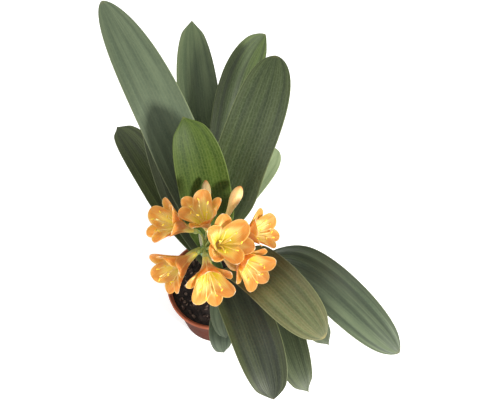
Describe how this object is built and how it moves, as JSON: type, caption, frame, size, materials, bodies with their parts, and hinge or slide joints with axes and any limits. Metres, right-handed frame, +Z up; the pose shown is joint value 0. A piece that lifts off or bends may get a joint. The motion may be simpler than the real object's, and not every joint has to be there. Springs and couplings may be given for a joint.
{
  "type": "potted clivia plant",
  "caption": "Clivia in flower in a round terracotta-coloured plastic nursery pot: two ranks of strap leaves and one umbel of orange trumpet flowers",
  "frame": {"origin": "centre of the flat base of the pot, on the surface it stands on", "axes": "+Z up along the pot's axis; +Y to the back, where the taller rank of leaves leans; +X to the right seen from the front"},
  "size_m": [0.3197, 0.4906, 0.4006],
  "materials": {
    "pot": "terracotta-coloured plastic, slightly satin",
    "soil": "dark bark potting mix, matt",
    "leaf": "leathery dark green leaf, semi-gloss, finely veined",
    "scape": "fleshy light green stalk",
    "petal": "soft orange petal with a yellow throat",
    "stamen": "cream-yellow filaments with yellow anthers",
    "bud": "closed bud, cream to orange"
  },
  "bodies": {
    "root": {"pot": "pot", "soil": "soil", "leaf_01": "leaf", "leaf_02": "leaf", "leaf_03": "leaf", "leaf_04": "leaf", "leaf_05": "leaf", "leaf_06": "leaf", "leaf_07": "leaf", "leaf_08": "leaf", "leaf_09": "leaf", "leaf_10": "leaf", "leaf_11": "leaf", "leaf_12": "leaf", "leaf_13": "leaf", "leaf_14": "leaf", "leaf_15": "leaf", "scape": "scape", "flower_1": "petal", "flower_2": "petal", "flower_3": "petal", "flower_4": "petal", "flower_5": "petal", "flower_6": "petal", "flower_7": "petal", "stamens_1": "stamen", "stamens_2": "stamen", "stamens_3": "stamen", "stamens_4": "stamen", "stamens_5": "stamen", "stamens_6": "stamen", "stamens_7": "stamen", "bud_1": "bud", "bud_2": "bud", "bud_3": "bud"}
  },
  "joints": []
}
